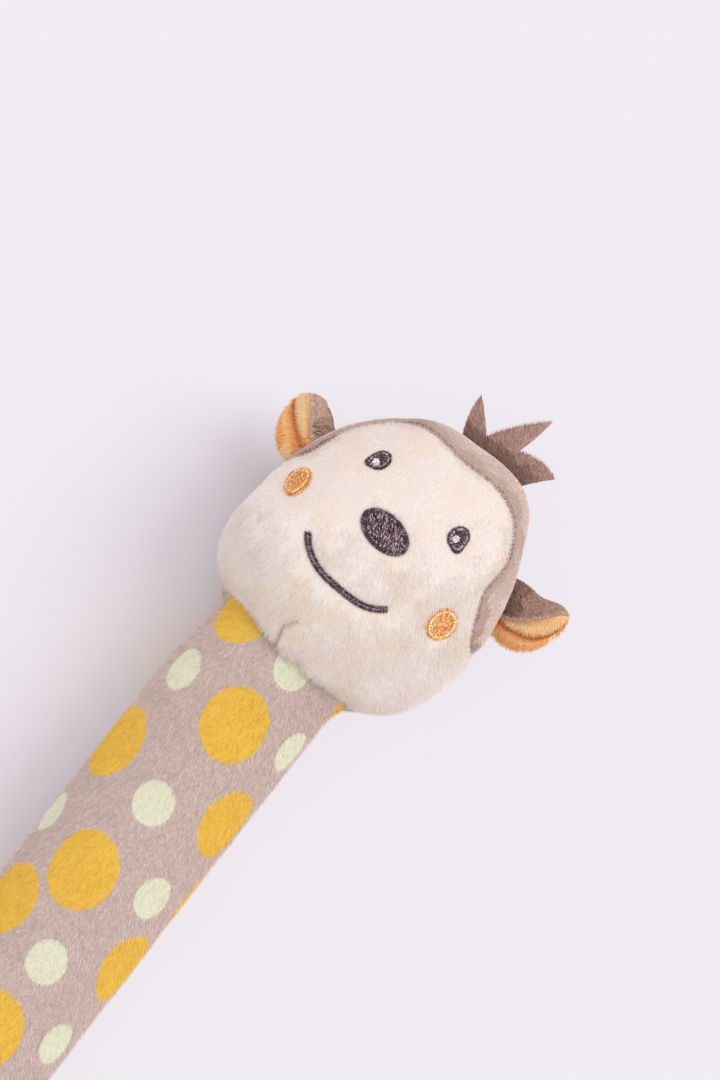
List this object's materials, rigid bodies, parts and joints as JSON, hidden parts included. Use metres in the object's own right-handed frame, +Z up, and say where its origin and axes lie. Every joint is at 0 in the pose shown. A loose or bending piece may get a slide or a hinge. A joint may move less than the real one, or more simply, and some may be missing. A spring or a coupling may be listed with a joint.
{
  "type": "plush toy",
  "caption": "Baby's plush squeeze toy: a soft animal head with cupped ears and a cloth tuft, sewn on a stuffed tube of dotted pile cloth.",
  "frame": {"origin": "under the middle of the toy's bounding box, on the surface that it lies on", "axes": "+Z up, out of the face; +Y along the tube from its far end to the crown; +X to the toy's own left, which is the right of someone who looks down on the face with the crown up"},
  "size_m": [0.1026, 0.2774, 0.0574],
  "materials": {
    "printed_pile": "matte",
    "taupe_pile": "matte",
    "cream_pile": "matte",
    "ear_pile": "matte",
    "apricot_pile": "matte",
    "tuft_pile": "matte",
    "plum_thread": "satin",
    "white_thread": "satin",
    "orange_thread": "satin",
    "seam_thread": "satin",
    "fibre_fill": "matte",
    "bulb_plastic": "satin",
    "reed_plastic": "gloss"
  },
  "bodies": {
    "tube": {"body_sleeve": "printed_pile", "body_end_panel": "taupe_pile", "squeaker_bulb": "bulb_plastic", "squeaker_reed": "reed_plastic", "body_filling_upper": "fibre_fill", "body_filling_lower": "fibre_fill"},
    "neck_core": {"neck_filling": "fibre_fill"},
    "neck_ring": {"neck_seam": "seam_thread"},
    "head": {"face_panel": "cream_pile", "hood_band": "taupe_pile", "head_back_left": "taupe_pile", "head_back_right": "taupe_pile", "head_filling": "fibre_fill", "nose": "plum_thread", "mouth": "plum_thread", "eye_right": "plum_thread", "eye_right_glint": "white_thread", "eye_left": "plum_thread", "eye_left_glint": "white_thread", "cheek_right": "orange_thread", "cheek_left": "orange_thread"},
    "ear_right": {"ear_right_back": "ear_pile", "ear_right_lining": "apricot_pile"},
    "ear_left": {"ear_left_back": "ear_pile", "ear_left_lining": "apricot_pile"},
    "hair": {"hair_tuft": "tuft_pile"}
  },
  "joints": [
    {"name": "neck_nod", "type": "hinge", "parent": "tube", "child": "neck_core", "pos_m": [-0.00995, 0.0309, 0.022], "axis": [1, 0, 0], "range_deg": [-18, 18], "stiffness_Nm_per_rad": 0.15},
    {"name": "neck_lean", "type": "hinge", "parent": "neck_core", "child": "neck_ring", "pos_m": [-0.00995, 0.0309, 0.022], "axis": [0, 0, 1], "range_deg": [-18, 18], "stiffness_Nm_per_rad": 0.15},
    {"name": "neck_turn", "type": "hinge", "parent": "neck_ring", "child": "head", "pos_m": [-0.00995, 0.0309, 0.022], "axis": [0.1253, 0.9921, 0], "range_deg": [-35, 35], "stiffness_Nm_per_rad": 0.1},
    {"name": "ear_right_flap", "type": "hinge", "parent": "head", "child": "ear_right", "pos_m": [-0.03905, 0.09143, 0.022], "axis": [0.3682, 0.9297, 0], "range_deg": [-25, 60], "stiffness_Nm_per_rad": 0.003},
    {"name": "ear_left_flap", "type": "hinge", "parent": "head", "child": "ear_left", "pos_m": [0.03454, 0.08676, 0.022], "axis": [-0.1968, 0.9804, 0], "range_deg": [-50, 50], "stiffness_Nm_per_rad": 0.003},
    {"name": "tuft_bend", "type": "hinge", "parent": "head", "child": "hair", "pos_m": [0.00429, 0.11947, 0.022], "axis": [0.999, -0.0436, 0], "range_deg": [-60, 60], "stiffness_Nm_per_rad": 0.002}
  ]
}
